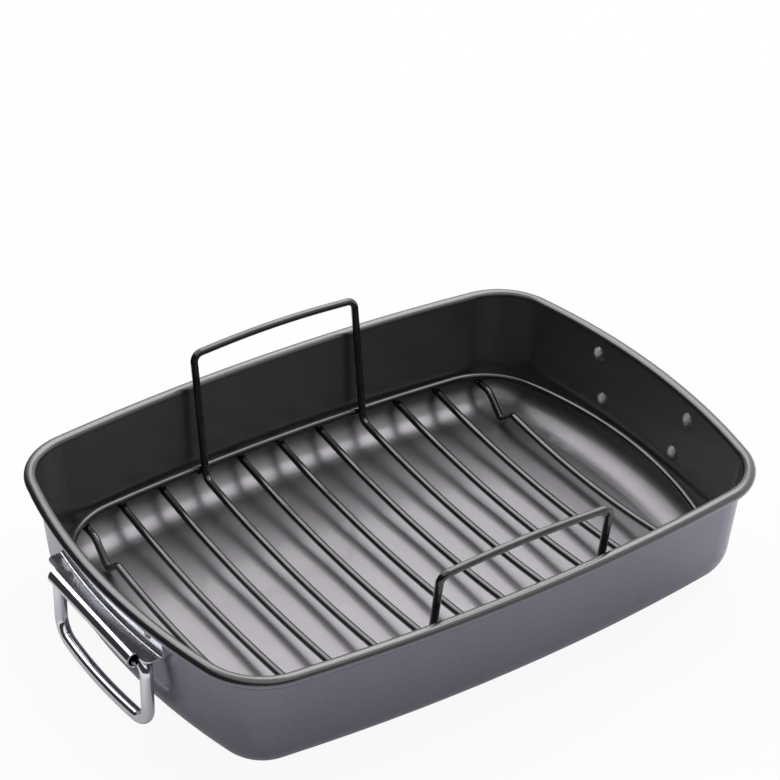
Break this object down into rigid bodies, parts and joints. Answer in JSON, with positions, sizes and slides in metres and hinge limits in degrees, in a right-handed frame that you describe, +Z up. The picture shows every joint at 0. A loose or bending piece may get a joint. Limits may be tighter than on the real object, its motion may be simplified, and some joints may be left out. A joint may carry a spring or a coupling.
{
  "type": "roasting pan with rack",
  "caption": "Rectangular roasting pan with bowed sides, rolled rim and drop handles, and a loose wire rack with upright handles and bent feet.",
  "frame": {"origin": "middle of the pan's flat base, on its underside", "axes": "+X along the pan's length towards the right end, +Y across it towards the rear, +Z up out of the pan"},
  "size_m": [0.4314, 0.3006, 0.1121],
  "materials": {
    "pan_enamel": "glossy",
    "bracket_steel": "polished",
    "handle_chrome": "polished",
    "rivet_steel": "satin",
    "rack_black": "glossy"
  },
  "bodies": {
    "pan": {"pan_shell": "pan_enamel", "left_bracket": "bracket_steel", "right_bracket": "bracket_steel", "left_upper_rivets": "rivet_steel", "left_lower_rivets": "rivet_steel", "right_upper_rivets": "rivet_steel", "right_lower_rivets": "rivet_steel"},
    "left_bail": {"left_bail": "handle_chrome"},
    "right_bail": {"right_bail": "handle_chrome"},
    "rack": {"rack_outer_wire": "rack_black", "rack_handle_wire": "rack_black", "rack_cross_wire_2": "rack_black", "rack_cross_wire_3": "rack_black", "rack_cross_wire_5": "rack_black", "rack_cross_wire_6": "rack_black", "rack_cross_wire_7": "rack_black", "rack_cross_wire_9": "rack_black", "rack_cross_wire_10": "rack_black", "rack_foot_wire_1": "rack_black", "rack_foot_wire_11": "rack_black"}
  },
  "joints": [
    {"name": "left_bail_hinge", "type": "hinge", "parent": "pan", "child": "left_bail", "pos_m": [-0.20591, 0, 0.0499], "axis": [0, 1, 0], "range_deg": [-10, 112]},
    {"name": "right_bail_hinge", "type": "hinge", "parent": "pan", "child": "right_bail", "pos_m": [0.20591, 0, 0.0499], "axis": [0, -1, 0], "range_deg": [-10, 112]},
    {"name": "rack_lift", "type": "slide", "parent": "pan", "child": "rack", "axis": [0, 0, 1], "range_m": [0, 0.1]}
  ]
}
